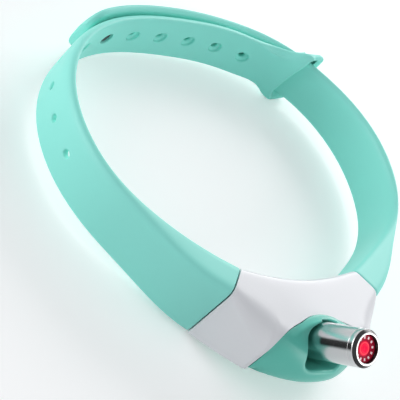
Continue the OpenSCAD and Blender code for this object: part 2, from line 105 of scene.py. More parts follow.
def new_material(name):
    made = bpy.data.materials.new(name)
    made.use_nodes = True
    return made, made.node_tree, made.node_tree.nodes["Principled BSDF"]


# Camera, light and stage
LOOP_MIDDLE = Vector((0, 0, 0.01))
FLOOR_HALF, FLOOR_Z, FLOOR_GLOW = 3, -0.0007, 0.3
FLAG_WIDE, FLAG_HIGH, FLAG_FADE = 0.0062, 0.013, 4.0


def photo_camera():
    data = bpy.data.cameras.new("photo_camera")
    data.sensor_width = 36
    data.lens = 144.2456
    data.clip_start = 0.01
    camera = add_object("photo_camera", data)
    place = (-0.278887, -0.183025, 0.260186)
    right = Vector((0.752811, -0.322681, 0.573718))
    up = Vector((-0.044366, 0.844742, 0.533331))
    turn = Matrix((right, up, right.cross(up))).transposed().to_4x4()
    camera.matrix_world = Matrix.Translation(place) @ turn
    scene.camera = camera


def softbox(name, place, width, height, watts):
    """Area light that is aimed at the loop's middle."""
    data = bpy.data.lights.new(name, "AREA")
    data.shape = "RECTANGLE"
    data.size = width
    data.size_y = height
    data.energy = watts
    lamp = add_object(name, data)
    lamp.location = place
    lamp.rotation_euler = (LOOP_MIDDLE - Vector(place)).to_track_quat("-Z", "Y").to_euler()


def seen_directly(tree):
    """1 for rays from the camera, a mirror or glass, 0 for light that falls on the object."""
    path = add_node(tree, "ShaderNodeLightPath")
    camera_or_gloss = maths(tree, "MAXIMUM", path.outputs["Is Camera Ray"], path.outputs["Is Glossy Ray"])
    return maths(tree, "MAXIMUM", camera_or_gloss, path.outputs["Is Transmission Ray"])


def white_surround():
    """White where it is seen, a weak cool glow as light on the object."""
    world = bpy.data.worlds.new("white_surround")
    world.use_nodes = True
    scene.world = world
    tree = world.node_tree
    glow = tree.nodes["Background"]
    feed(glow, Color=(0.93, 0.96, 1.0, 1), Strength=0.35)
    white = add_node(tree, "ShaderNodeBackground")
    feed(white, Color=(1, 1, 1, 1), Strength=1.0)
    either = add_node(tree, "ShaderNodeMixShader")
    for socket, value in zip(either.inputs, (seen_directly(tree), glow.outputs[0], white.outputs[0])):
        fill(socket, value)
    feed(tree.nodes["World Output"], Surface=either.outputs[0])


def stage_card(name, segments, half, made):
    bm = bmesh.new()
    bmesh.ops.create_grid(bm, x_segments=segments, y_segments=segments, size=half)
    mesh = mesh_of(bm, name)
    mesh.materials.append(made)
    return add_object(name, mesh)


def paper_floor():
    """Matt floor just under the keeper's lower lip, brighter where it is seen directly."""
    paper, tree, shader = new_material("white_paper")
    lift = maths(tree, "MULTIPLY", seen_directly(tree), FLOOR_GLOW)
    feed(shader, Base_Color=(0.93, 0.93, 0.93, 1), Roughness=1, Specular_IOR_Level=0,
         Emission_Color=(1, 1, 1, 1), Emission_Strength=lift)
    floor = stage_card("paper_floor", 8, FLOOR_HALF, paper)
    floor.data.transform(Matrix.Translation((0, 0, FLOOR_Z)))


def dark_flag():
    """Black card with soft edges beside the barrel, seen only in mirrors: it puts a painted dark reflection
    band on the tube.
    """
    black, tree, shader = new_material("flag_black")
    half = 0.5
    parts = add_node(tree, "ShaderNodeSeparateXYZ")
    feed(parts, Vector=add_node(tree, "ShaderNodeTexCoord").outputs["Object"])
    inward = maths(tree, "SUBTRACT", half, maths(tree, "ABSOLUTE", parts.outputs["X"]))
    fade = maths(tree, "MULTIPLY", inward, FLAG_FADE)
    fade.node.use_clamp = True
    feed(shader, Base_Color=(0.02, 0.02, 0.02, 1), Roughness=1, Alpha=fade)
    flag = stage_card("dark_flag", 1, half, black)
    place = Matrix.Translation((-0.0078, -0.0584, 0.0233))
    upright = Matrix.Rotation(math.pi / 2, 4, "Z") @ Matrix.Rotation(math.pi / 2, 4, "X")
    turn = Matrix.Rotation(HEAD_TILT, 4, "X") @ upright
    flag.matrix_world = place @ turn @ Matrix.Diagonal((FLAG_WIDE, FLAG_HIGH, 1, 1))
    flag.visible_camera = flag.visible_diffuse = False
    flag.visible_shadow = flag.visible_transmission = False


# Shared surface effects
FLOAT, COLOUR = "NodeSocketFloat", "NodeSocketColor"
DRIFT_SCALE, SPECKLE_SCALE, SPECKLE_SHARE, SMEAR_SCALE = 60, 2600, 0.6, 140
WAVE_SCALE, WAVE_SHARE, GRAIN_HEIGHT = 260, 0.4, 0.00002


def effect_group(name, inputs, output, kind=FLOAT):
    group = bpy.data.node_groups.new(name, "ShaderNodeTree")
    for socket, value in inputs.items():
        takes = COLOUR if isinstance(value, tuple) else FLOAT
        group.interface.new_socket(socket, in_out="INPUT", socket_type=takes).default_value = value
    group.interface.new_socket(output, in_out="OUTPUT", socket_type=kind)
    return group, group.nodes.new("NodeGroupInput").outputs, group.nodes.new("NodeGroupOutput")


def noise_at(tree, scale, detail, rough=0.5):
    """Noise on the object's own coordinates."""
    place = add_node(tree, "ShaderNodeTexCoord")
    noise = add_node(tree, "ShaderNodeTexNoise")
    feed(noise, Vector=place.outputs["Object"], Scale=scale, Detail=detail, Roughness=rough)
    return noise.outputs["Fac"]


def moulded_tone_group():
    """Colour with slow drift from the mould's flow and a fine speckle."""
    grey = (0.5, 0.5, 0.5, 1)
    group, take, give = effect_group("moulded_tone", {"Color": grey, "Drift": 0.05}, "Color", COLOUR)
    drift = maths(group, "SUBTRACT", noise_at(group, DRIFT_SCALE, 2), 0.5)
    speckle = maths(group, "SUBTRACT", noise_at(group, SPECKLE_SCALE, 3), 0.5)
    both = maths(group, "ADD", drift, maths(group, "MULTIPLY", speckle, SPECKLE_SHARE))
    shift = maths(group, "MULTIPLY", both, take["Drift"])
    tint = add_node(group, "ShaderNodeHueSaturation")
    feed(tint, Color=take["Color"], Value=maths(group, "ADD", shift, 1.0))
    feed(give, Color=tint.outputs["Color"])
    return group


def handled_gloss_group():
    """Roughness that wanders between two values, with faint smears from handling."""
    group, take, give = effect_group("handled_gloss", {"Low": 0.3, "High": 0.4}, "Roughness")
    smear = noise_at(group, SMEAR_SCALE, 4, 0.65)
    span = maths(group, "SUBTRACT", take["High"], take["Low"])
    feed(give, Roughness=maths(group, "ADD", maths(group, "MULTIPLY", smear, span), take["Low"]))
    return group


def fine_grain_group():
    """Height of a fine grain with a few soft waves under it."""
    group, take, give = effect_group("fine_grain", {"Scale": 3000}, "Height")
    grain = noise_at(group, take["Scale"], 2)
    wave = maths(group, "MULTIPLY", noise_at(group, WAVE_SCALE, 2), WAVE_SHARE)
    feed(give, Height=maths(group, "ADD", grain, wave))
    return group


MOULDED_TONE = moulded_tone_group()
HANDLED_GLOSS = handled_gloss_group()
FINE_GRAIN = fine_grain_group()


def place_group(tree, group, **values):
    node = add_node(tree, "ShaderNodeGroup", node_tree=group)
    feed(node, **values)
    return node


def finish(name, colour, gloss, grain, drift, **sockets):
    """A material from the shared effects.

    gloss is its low and high roughness, grain the scale and strength of its grain, drift that of its tone."""
    made, tree, shader = new_material(name)
    tone = place_group(tree, MOULDED_TONE, Color=(*colour, 1), Drift=drift)
    rough = place_group(tree, HANDLED_GLOSS, Low=gloss[0], High=gloss[1])
    height = place_group(tree, FINE_GRAIN, Scale=grain[0])
    bump = add_node(tree, "ShaderNodeBump")
    feed(bump, Strength=grain[1], Distance=GRAIN_HEIGHT, Height=height.outputs["Height"])
    feed(shader, Base_Color=tone.outputs["Color"], Roughness=rough.outputs["Roughness"],
         Normal=bump.outputs["Normal"], **sockets)
    return made


MINT_SILICONE = finish("mint_silicone", (0.31, 0.88, 0.78), (0.42, 0.54), (2400, 0.25), 0.03,
                       Specular_IOR_Level=0.4)
MINT_PLASTIC = finish("mint_plastic", (0.12, 0.60, 0.49), (0.28, 0.36), (3600, 0.15), 0.03)
WHITE_PLASTIC = finish("white_plastic", (0.83, 0.84, 0.87), (0.30, 0.34), (3600, 0.05), 0.012)
STUD_GREY = finish("stud_grey", (0.008, 0.022, 0.02), (0.4, 0.55), (2600, 0.4), 0.2, Specular_IOR_Level=0.3)
BRIGHT_METAL = finish("bright_metal", (0.60, 0.60, 0.61), (0.15, 0.21), (5000, 0.1), 0.05, Metallic=1.0)
DARK_BEZEL = finish("dark_bezel", (0.02, 0.02, 0.022), (0.12, 0.2), (4000, 0.1), 0.2, Metallic=0.4)
# The red window's emission is a painted glow in place of the lit lens and nut behind it.
RED_WINDOW = finish("red_window", (0.4, 0.01, 0.03), (0.03, 0.06), (4000, 0.05), 0.1,
                    Transmission_Weight=0.15, Specular_IOR_Level=0.0, Emission_Strength=0.9)
# The ribs' pink emission is a painted glow in place of the lit toothed nut behind the window.
WINDOW_RIBS = finish("window_ribs", (0.9, 0.75, 0.78), (0.2, 0.3), (4000, 0.1), 0.05,
                     Emission_Color=(1.0, 0.62, 0.68, 1), Emission_Strength=0.5)
LENS_RED = finish("lens_red", (0.5, 0.02, 0.03), (0.03, 0.06), (4000, 0.05), 0.1, Transmission_Weight=0.7)
TURNED_BRASS = finish("turned_brass", (0.70, 0.48, 0.22), (0.22, 0.36), (2600, 0.3), 0.1, Metallic=1.0)
PLAIN_STEEL = finish("plain_steel", (0.52, 0.52, 0.54), (0.25, 0.4), (2600, 0.3), 0.1, Metallic=1.0)
BOARD_GREEN = finish("board_green", (0.02, 0.15, 0.07), (0.35, 0.5), (1800, 0.5), 0.25)
WASHER_RUBBER = finish("washer_rubber", (0.02, 0.02, 0.02), (0.6, 0.8), (1800, 0.6), 0.3)
WIRE_RED = finish("wire_red", (0.45, 0.02, 0.015), (0.35, 0.45), (2600, 0.2), 0.1)
WIRE_BLACK = finish("wire_black", (0.015, 0.015, 0.015), (0.35, 0.45), (2600, 0.2), 0.2)
CELL_FOIL = finish("cell_foil", (0.55, 0.55, 0.57), (0.2, 0.42), (900, 0.8), 0.1, Metallic=0.9)
SWITCH_BLACK = finish("switch_black", (0.02, 0.02, 0.02), (0.45, 0.6), (2600, 0.4), 0.2)
PLUNGER_WHITE = finish("plunger_white", (0.72, 0.72, 0.70), (0.35, 0.5), (2600, 0.3), 0.06)

CAD_FINISHES = (
    (MINT_SILICONE, ("strap_long", "strap_short", "strap_tail")), (STUD_GREY, ("clasp_stud",)),
    (WHITE_PLASTIC, ("cover_shell",)), (MINT_PLASTIC, ("pod_case", "power_button")),
    (BRIGHT_METAL, ("laser_barrel",)), (DARK_BEZEL, ("barrel_bezel",)), (RED_WINDOW, ("front_window",)),
    (LENS_RED, ("collimating_lens",)), (TURNED_BRASS, ("lens_nut", "laser_module", "charge_contacts")),
    (PLAIN_STEEL, ("laser_diode", "trunnion_pins", "strap_pins", "case_screws")),
    (BOARD_GREEN, ("module_board", "main_board")), (WASHER_RUBBER, ("friction_washers",)),
    (WIRE_RED, ("laser_leads",)), (WIRE_BLACK, ("battery_leads",)), (CELL_FOIL, ("battery_cell",)),
    (SWITCH_BLACK, ("switch_body",)), (PLUNGER_WHITE, ("switch_plunger",)))


def finish_cad_nodes():
    for made, names in CAD_FINISHES:
        for name in names:
            mesh = nodes[name].data
            mesh.materials.clear()
            mesh.materials.append(made)


# The neck loop's curve, by the angle from the case in degrees
LOOP_RADIUS, LOOP_OVAL, LOOP_EGG = 46.5, 3.5, 2
HALF_DEGREES = 500


def clip(t):
    return min(1.0, max(0.0, t))


def ease(t):
    t = clip(t)
    return t * t * (3 - 2 * t)


def mix(a, b, t):
    return a + (b - a) * t


def between(marks, values, x):
    """Value at x on a line through values at marks, which runs on straight past its ends."""
    i = min(max(bisect_left(marks, x) - 1, 0), len(marks) - 2)
    return mix(values[i], values[i + 1], (x - marks[i]) / (marks[i + 1] - marks[i]))


def loop_point(angle, off):
    """Point at an offset outwards from the loop's line."""
    a = math.radians(angle)
    radius = LOOP_RADIUS - LOOP_OVAL * math.cos(2 * a) + LOOP_EGG * math.cos(3 * a)
    grow = 2 * LOOP_OVAL * math.sin(2 * a) - 3 * LOOP_EGG * math.sin(3 * a)
    ray = Vector((math.sin(a), -math.cos(a)))
    along = Vector((math.cos(a), math.sin(a)))
    out = (radius * ray - grow * along).normalized()
    return radius * ray + off * out


ARC = [0.0]
for half_degree in range(HALF_DEGREES):
    step = loop_point(half_degree / 2 + 0.5, 0) - loop_point(half_degree / 2, 0)
    ARC.append(ARC[-1] + step.length)


def arc_at(angle):
    step = min(int(angle * 2), HALF_DEGREES - 1)
    return mix(ARC[step], ARC[step + 1], angle * 2 - step)


def angle_at(arc):
    step = min(max(bisect_right(ARC, arc) - 1, 0), HALF_DEGREES - 1)
    return (step + (arc - ARC[step]) / (ARC[step + 1] - ARC[step])) / 2


# Straps
STRAP_LOW, STRAP_HIGH, STRAP_MIDDLE, STRAP_WIDE = 2.2, 17.2, 9.7, 15
STRAP_THICK, STRAP_CORNER, OUTER_LIFT, WAIST = 2.6, 1.09, 2.85, 0.9
CASE_ANGLE, CASE_HIGH, CASE_LEAN = 30, 19.7, 2
ROOT_IN, ROOT_OUT, ROOT_BLEND, ROOT_EDGE, ROOT_STEPS = -3.6, 5.7, 36, 0.55, 15
ROOT_CORNERS = (1.2, 1.6, 2.2, 1.6)
ROOT_ARC = arc_at(CASE_ANGLE + 0.15)
PITCH, HOLE_COUNT, STUD_HOLE, STUD_ANGLE = 9.8, 11, 5, 214
STUD_ARC = arc_at(STUD_ANGLE)
FIRST_HOLE = arc_at(360 - STUD_ANGLE) + STUD_HOLE * PITCH
TIP_RUN, TIP_RADIUS, SHORT_STEPS = 8, 6.3, 46
TIP_ARC = STUD_ARC + TIP_RUN

# The keeper. From its open end the strap's edges follow two tables as far as KEEPER_RUN, and its section
# begins to turn into the keeper's at KEEPER_REACH
KEEPER_ANGLE, KEEPER_LENGTH, KEEPER_WALL, KEEPER_TOP = 131, 7, 1.9, 5.75
KEEPER_REACH, KEEPER_RUN = KEEPER_LENGTH + 7, 30
KEEPER_STEPS = (KEEPER_LENGTH, 4.6, 2.6, 0.8, 0)
KEEPER_FAR = arc_at(360 - angle_at(arc_at(KEEPER_ANGLE) + KEEPER_LENGTH))
KEEPER_END = arc_at(360 - KEEPER_ANGLE)
BACK_EDGE = ((0, 1.2, 2.2, 3.2, 4.2, 5, 6.5, 8, 16, KEEPER_RUN),
             (-0.9, -0.85, -0.6, -0.1, 0.55, 1.15, 1.8, 1.95, 1.9, STRAP_LOW))
FRONT_EDGE = ((0, 1.5, 2.5, 3.6, 5.4, 7.6, 10.4, 15.6, 21, KEEPER_RUN),
              (20.3, 20.4, 19.9, 19.1, 17.8, 16.8, 16.4, 16.3, 16.75, STRAP_HIGH))
LIP_REACH = ((-3, -2, -1, 1, 2, 3), (0.5, -0.5, -0.2, 0.3, 0.9, 0.7))

# A strap's blank: its rows across and levels through it, the height between its middle rows, how far
# smoothing draws a ring of eight points in, and how far from a corner of radius 1 its next point lies
ROWS, LEVELS, TOP_LEVEL, NEAR = (-3, -2, -1, 0, 1, 2, 3), (0, 1, 2, 3), 3, 0.01
ROW_STEP, RING_SHRINK, SOFT_CORNER = 3.25, 0.902, 1.76


def edge_corner(step, tuck, back, row_in):
    """Corner of a strap's edge: distance of the next level, tuck and set-back of its point, and next row."""
    return SimpleNamespace(step=step, tuck=tuck, back=back, row_in=row_in)


# Edges of a strap, each with its corner on the neck side and on the outer side
ROUND_NECK_SIDE = edge_corner(1.5, 0.4, 0.5, 2.9), edge_corner(0.9, 0.15, 0.3, 2.4)
ROUND_OUTER_SIDE = edge_corner(0.5, 0.05, 0.12, 1.5), edge_corner(1.55, 0.45, 0.7, 3.2)
EVEN_EDGE = (edge_corner(0.6, 0.1, 0.12, 1.6),) * 2


def strap_form(angle, lift, full, tip=0.0):
    """Section of a strap: its faces, edges and corner radii, and how much of the root's form it still has.

    lift is how far out it ends up, full the angle its front edge takes to narrow, tip what its end loses."""
    past = angle - CASE_ANGLE
    strap_share = ease(past / ROOT_BLEND)
    narrowed = clip(past / full) ** 0.8
    return SimpleNamespace(
        inner=mix(ROOT_IN, lift * ease((past - 6) / 34), ease(past / (1.48 * ROOT_BLEND))),
        outer=mix(ROOT_OUT, lift * ease((past - 20) / 40) + STRAP_THICK, strap_share),
        low=mix(0, STRAP_LOW, ease((past + 6) / ROOT_BLEND)) + tip,
        high=mix(CASE_HIGH, STRAP_HIGH, narrowed) - tip,
        corners=[mix(radius, STRAP_CORNER, strap_share) for radius in ROOT_CORNERS],
        root=1 - strap_share)


def end_lean(share, off):
    """Angle by which the joint between strap and case leans at an offset."""
    return share * CASE_LEAN * (ROOT_OUT - off) / (ROOT_OUT - ROOT_IN)


def on_edge(row):
    return abs(row) > 2 + NEAR


def section_point(form, row, level, front):
    """Offset from the loop's line and height of a blank's point, for a strap with a given front edge."""
    inside, outside = (form.corners[3], form.corners[2]) if row > 0 else form.corners[:2]
    neck, away = front if row > 0 else EVEN_EDGE
    room = 0.46 * (form.outer - form.inner)
    through = clip(level / TOP_LEVEL)
    off, rise = mix(form.inner, form.outer, through), 0
    if on_edge(row):
        pull = 1 - form.root
        neck_step = mix(neck.step, min(room, SOFT_CORNER * inside), form.root)
        away_step = mix(away.step, min(room, SOFT_CORNER * outside), form.root)
        offs = (form.inner + neck.tuck * pull, form.inner + neck_step,
                form.outer - away_step, form.outer - away.tuck * pull)
        off = between(LEVELS, offs, level)
        rise = between(LEVELS, (neck.back * pull, 0, 0, away.back * pull), level)
    middle = (form.low + form.high) / 2
    narrow = min(1.0, (form.high - form.low) / STRAP_WIDE)
    neck_in = mix(neck.row_in, SOFT_CORNER * inside, form.root)
    away_in = mix(away.row_in, SOFT_CORNER * outside, form.root)
    edge_in = mix(neck_in, away_in, through) * narrow
    heights = (form.low + rise, form.low + edge_in, middle - ROW_STEP * narrow, middle,
               middle + ROW_STEP * narrow, form.high - edge_in, form.high - rise)
    return off, between(ROWS, heights, row)


def strap_blank(columns):
    """Flat strap as a lattice box: x counts its stations, y its rows, z its levels from the neck side out."""
    bm = bmesh.new()
    rows = len(ROWS) - 1
    bmesh.ops.create_grid(bm, x_segments=columns, y_segments=rows, size=0.5)
    bmesh.ops.translate(bm, verts=bm.verts, vec=(0.5, 0, 0))
    bmesh.ops.scale(bm, verts=bm.verts, vec=(columns, rows, 1))
    bmesh.ops.solidify(bm, geom=bm.faces[:], thickness=TOP_LEVEL)
    lowest = min(v.co.z for v in bm.verts)
    bmesh.ops.translate(bm, verts=bm.verts, vec=(0, 0, -lowest))
    walls = [e for e in bm.edges if abs(e.verts[0].co.z - e.verts[1].co.z) > 1]
    bmesh.ops.subdivide_edges(bm, edges=walls, cuts=TOP_LEVEL - 1, use_grid_fill=True)
    return bm


def ring_in(bm, face, column, radius, level):
    """Next ring of a hole: the face is pushed in to a circle of a radius in millimetres at a level."""
    made = bmesh.ops.extrude_discrete_faces(bm, faces=[face])["faces"][0]
    reach = radius / RING_SHRINK
    for v in made.verts:
        turn = round(math.atan2(v.co.y, v.co.x - column) / EIGHTH_TURN) * EIGHTH_TURN
        v.co = (column + reach / (PITCH / 3) * math.cos(turn), reach / ROW_STEP * math.sin(turn), level)
    return made


def open_patch(bm, place):
    """One face in the place of those round the vertex that is nearest to a point."""
    found = min(bm.verts, key=lambda v: (v.co - place).length)
    return bmesh.ops.dissolve_faces(bm, faces=found.link_faces[:])["region"][0]


def stepped_hole(bm, column, inside, outside):
    """Hole through the strap: rings (radius, level) in its inner face and in its outer face, then joined."""
    faces = []
    for level, rings in ((0, inside), (TOP_LEVEL, outside)):
        face = open_patch(bm, Vector((column, 0, level)))
        for radius, depth in rings:
            face = ring_in(bm, face, column, radius, depth)
        faces.append(face)
    rims = [e for f in faces for e in f.edges]
    bmesh.ops.delete(bm, geom=faces, context="FACES_ONLY")
    bmesh.ops.bridge_loops(bm, edges=rims)


def grow_region(bm, faces):
    """Faces at the end of a new region that is drawn from others."""
    grown = bmesh.ops.extrude_face_region(bm, geom=faces)["geom"]
    return [f for f in grown if isinstance(f, bmesh.types.BMFace)]


def keeper_loop(bm, column):
    """Keeper: the strap's two edges grow outwards over its last stations and are bridged."""
    for side in (-1, 1):
        strip = []
        for f in bm.faces:
            middle = f.calc_center_median()
            on_top = all(abs(v.co.z - TOP_LEVEL) < NEAR for v in f.verts)
            if on_top and middle.x > column and side * middle.y > 2:
                strip.append(f)
        for level in (4, 5):
            strip = grow_region(bm, strip)
            for v in {v for f in strip for v in f.verts}:
                v.co.z = level
    facing = [f for f in bm.faces if 4.2 < f.calc_center_median().z < 4.8
              and all(abs(abs(v.co.y) - 2) < NEAR for v in f.verts)]
    bmesh.ops.delete(bm, geom=facing, context="FACES")
    bmesh.ops.bridge_loops(bm, edges=[e for e in bm.edges if e.is_boundary])
    spans = [e for e in bm.edges if abs(e.verts[0].co.y - e.verts[1].co.y) > 3]
    bmesh.ops.subdivide_edges(bm, edges=spans, cuts=3, use_grid_fill=True)


def to_piece(bm, name, made, body, replaced, levels=0, wall=0.0, turned=False):
    """Finished piece in metres, smooth, with its finish and the body it rides on.

    turned says that the faces of its form look outwards already."""
    if not turned:
        bmesh.ops.remove_doubles(bm, verts=bm.verts, dist=0.002)
        bmesh.ops.recalc_face_normals(bm, faces=bm.faces)
    bmesh.ops.scale(bm, verts=bm.verts, vec=(MM, MM, MM))
    for f in bm.faces:
        f.smooth = True
    mesh = mesh_of(bm, name)
    mesh.materials.append(made)
    piece = add_object(name, mesh)
    if wall:
        thick = piece.modifiers.new("wall", "SOLIDIFY")
        thick.thickness = wall * MM
        thick.offset = -1
    if levels:
        soft = piece.modifiers.new("smooth_form", "SUBSURF")
        soft.levels = soft.render_levels = levels
    if body:
        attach(piece, body)
    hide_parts(*replaced)
    return piece


def settle(piece):
    """Keeps the mesh that the modifiers make."""
    held = piece.evaluated_get(bpy.context.evaluated_depsgraph_get())
    mesh = bpy.data.meshes.new_from_object(held)
    piece.modifiers.clear()
    piece.data = mesh


def keeper_point(row, level, left, form, plain):
    """Offset and height of a point of the keeper, which ends in soft lips; plain is the strap's own point."""
    slot_low, slot_high = KEEPER_WALL, STRAP_HIGH + 0.3
    lip = (1.5 if row > 0 else 0.6) * (1 - min(1.0, left / 2)) ** 2
    if level > TOP_LEVEL + NEAR:
        over = level - 4
        wall = mix(1.25, 0.45, ease(left / KEEPER_LENGTH))
        off = between((3, 4, 5), (STRAP_THICK, KEEPER_TOP - 0.15, KEEPER_TOP + wall), level)
        if on_edge(row) and over > 0:
            off -= 0.45 * over
        low_edge = form.low + lip + 0.5 * over
        high_edge = form.high - lip - 0.5 * over - 1.3 * ease((left - 1.8) / 4)
        return off, between((-3, -2, 2, 3), (low_edge, slot_low, slot_high, high_edge), row)
    off, height = plain
    hold = ease((KEEPER_REACH - left) / 8)
    if on_edge(row):
        turn_in = lip + between(LEVELS, (2.4, 1.0, 0.2, 0) if row > 0 else (0.8, 0.2, 0, 0), level)
        target = between((-3, 3), (form.low + turn_in, form.high - turn_in), row)
        edge_off = between(LEVELS, (0.4, 1.25, 2.0, STRAP_THICK), level)
        return mix(off, edge_off, hold), mix(height, target, hold)
    if abs(row) > 1.9:
        turn_in = 1.9 * (1 - level / TOP_LEVEL)
        target = between((-2, 2), (slot_low + turn_in, slot_high - turn_in), row)
        return off, mix(height, target, hold * hold)
    return off, height


def long_strap():
    lattice = FIRST_HOLE - (HOLE_COUNT - 1) * PITCH
    stations = [ROOT_ARC, ROOT_ARC + ROOT_EDGE]
    stations += [mix(ROOT_ARC, lattice, i / ROOT_STEPS) for i in range(1, ROOT_STEPS)]
    stations += [lattice + i * PITCH / 3 for i in range(3 * HOLE_COUNT - 1)]
    stations.append(mix(FIRST_HOLE + PITCH / 3, KEEPER_FAR, 0.5))
    stations += [KEEPER_END - left for left in KEEPER_STEPS]
    marks = range(len(stations))
    bm = strap_blank(len(stations) - 1)
    for i in range(HOLE_COUNT):
        column = min(marks, key=lambda k: abs(stations[k] - (FIRST_HOLE - i * PITCH)))
        neck, deep = (1.3, 1.4) if i == STUD_HOLE else (0.72, 1.0)
        mouth = max(neck, 1.0)
        stepped_hole(bm, column, ((2.7, 0), (2.1, 0), (1.9, 0.3), (1.85, deep), (neck, deep + 0.04)),
                     ((1.8, 3), (mouth + 0.15, 3), (mouth, 2.6)))
    keeper_loop(bm, len(stations) - len(KEEPER_STEPS))
    far_angle, end_angle = angle_at(KEEPER_FAR), angle_at(KEEPER_END)
    for v in bm.verts:
        row, level = v.co.y, v.co.z
        arc = between(marks, stations, v.co.x)
        left = KEEPER_END - arc
        form = strap_form(angle_at(arc), lift=0, full=120)
        if left < KEEPER_RUN:
            form.low, form.high = between(*BACK_EDGE, left), between(*FRONT_EDGE, left)
        off, height = section_point(form, row, min(level, TOP_LEVEL), ROUND_OUTER_SIDE)
        if left < KEEPER_REACH:
            off, height = keeper_point(row, level, left, form, (off, height))
        reach = between(*LIP_REACH, row) if level < TOP_LEVEL + NEAR else 0.0
        angle = angle_at(arc + reach * ease(1 - left / 4))
        hold = ease((arc - KEEPER_FAR + 4) / 4)
        slant = mix(0.85, 1.4, min(1.0, (end_angle - angle) / (end_angle - far_angle)))
        along = off if on_edge(row) else mix(1.55 * max(0.0, off - STRAP_THICK), off, ease(left / 4))
        flat = loop_point(angle - end_lean(form.root, off) + slant * along * hold, off)
        v.co = (-flat.x, flat.y, height)
    to_piece(bm, "holed_strap", MINT_SILICONE, "collar", ["strap_long"], 2)


def short_strap():
    stations = [ROOT_ARC, ROOT_ARC + ROOT_EDGE]
    stations += [mix(ROOT_ARC, STUD_ARC, i / SHORT_STEPS) for i in range(1, SHORT_STEPS + 1)]
    stations += [STUD_ARC + run for run in (2.4, 4.4, 6.1, 7.3, TIP_RUN)]
    bm = strap_blank(len(stations) - 1)
    marks = range(len(stations))
    for v in bm.verts:
        arc = between(marks, stations, v.co.x)
        angle = angle_at(arc)
        into_tip = max(0.0, TIP_RADIUS - (TIP_ARC - arc))
        tip = TIP_RADIUS - math.sqrt(max(0.0, TIP_RADIUS ** 2 - into_tip ** 2))
        form = strap_form(angle, lift=OUTER_LIFT, full=94, tip=tip)
        form.high -= WAIST * ease((angle - 95) / 30) * (1 - ease((angle - 150) / 35))
        off, height = section_point(form, v.co.y, v.co.z, ROUND_NECK_SIDE)
        flat = loop_point(angle - end_lean(form.root, off), off)
        v.co = (flat.x, flat.y, height)
    piece = to_piece(bm, "plain_strap", MINT_SILICONE, None,
                     ["strap_short", "strap_tail"], 2)
    settle(piece)
    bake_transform(piece)


# The case's outer form
CASE_IN, CASE_HEART = -6, (0, -45, 9)
BELLY_Y, BELLY_Z, BELLY_RADIUS = -21.56, 70.77, 74.0
FACET_X, FACET_Y = 17.0, -56.4
SEAM_OUT, FACET_END = loop_point(CASE_ANGLE, ROOT_OUT), Vector((FACET_X, FACET_Y))
FACET_DIR = (FACET_END - SEAM_OUT).normalized()
FACET_ALONG, FACET_OUT = FACET_DIR.to_3d(), Vector((-FACET_DIR.y, FACET_DIR.x, 0))
FACET_ANGLE = math.degrees(math.atan2(FACET_X, -FACET_Y))
POD_Y, POD_RADIUS, POD_FRONT, POD_HEART = -38.55, 24.65, 9.6, (0, -52, 6)
ARCH_Y, ARCH_RADIUS, SEAM_GAP, SEAM_ANGLE = -76.29, 25.49, 0.17, 16.18
COLLAR_RADIUS, COLLAR_WIDE, COLLAR_FRONT, COLLAR_LOW_FRONT = 5.4, 7.4, 11.4, 8.4
PIVOT = Vector((0, -50.8, 11))
HEAD_TURN = Matrix.Translation(PIVOT) @ Matrix.Rotation(HEAD_TILT, 4, "X")
HEAD_AXIS, HEAD_UP = HEAD_TURN.to_3x3().col[2].copy(), HEAD_TURN.to_3x3().col[1].copy()


def case_out(angle):
    """Offset of the case's outer wall, flat beside the pod and round over it."""
    a = math.radians(abs(angle))
    ray = Vector((math.sin(a), -math.cos(a)))
    if abs(angle) >= FACET_ANGLE:
        reach = SEAM_OUT.cross(FACET_DIR) / ray.cross(FACET_DIR)
    else:
        reach = -POD_Y * math.cos(a) + math.sqrt(POD_RADIUS ** 2 - (POD_Y * math.sin(a)) ** 2)
    return reach - loop_point(abs(angle), 0).length


def case_in(angle):
    return mix(CASE_IN, ROOT_IN, (angle / CASE_ANGLE) ** 2)


def case_point(angle, off, height):
    """Point of the case, with the lean of its ends."""
    share = math.copysign((abs(angle) / CASE_ANGLE) ** 4, angle)
    flat = loop_point(angle - end_lean(share, off), off)
    return Vector((flat.x, flat.y, height))


def belly_height(y):
    return max(0.0, BELLY_Z - math.sqrt(BELLY_RADIUS ** 2 - (y - BELLY_Y) ** 2))


def arch_line(x):
    return ARCH_Y + math.sqrt(max(0.0, ARCH_RADIUS ** 2 - x * x))


def soft_max(a, b, blend):
    """The larger of two, rounded over where they are nearer than blend."""
    over = max(blend - abs(a - b), 0.0) / blend
    return max(a, b) + over * over * blend / 4


def seam_line(x):
    """Seam between cover and pod on the front: the arch, raised over the barrel's collar."""
    middle = PIVOT.y - (CASE_HIGH - PIVOT.z) * math.tan(HEAD_TILT)
    reach = COLLAR_RADIUS / math.cos(HEAD_TILT)
    over = middle + reach * math.sqrt(max(0.0, 1 - (x / COLLAR_WIDE) ** 2))
    over -= 4 * max(0.0, abs(x) - COLLAR_WIDE)
    return soft_max(arch_line(x), over, 3.6)


def solve(low, high, inside):
    """Where inside() turns false between low and high."""
    for _ in range(26):
        middle = (low + high) / 2
        if inside(middle):
            low = middle
        else:
            high = middle
    return low


def edge_behind(angle, line, gap):
    """Largest offset of the case that stays behind a line across it by a gap."""
    def behind(off):
        p = case_point(angle, off, 0)
        return p.y > line(p.x) + gap
    return solve(case_in(angle) + 0.5, case_out(angle), behind)


# White cover
COVER_WALL, BAND_HIGH = 1.5, 2.6
BUTTON_RUN, BUTTON_Z = 8.6, 9.45
BUTTON_HOLE = ((3.6, 0), (3.25, 0.02), (3.15, 0.25))
TOP_STEPS = (0, 0.12, 0.45, 1.0, 1.75, 2.6, 3.5)
WIDE_EDGE, END_EDGE, MIDDLE_EDGE, NECK_EDGE = 6.0, 2.4, 2.8, 1.6


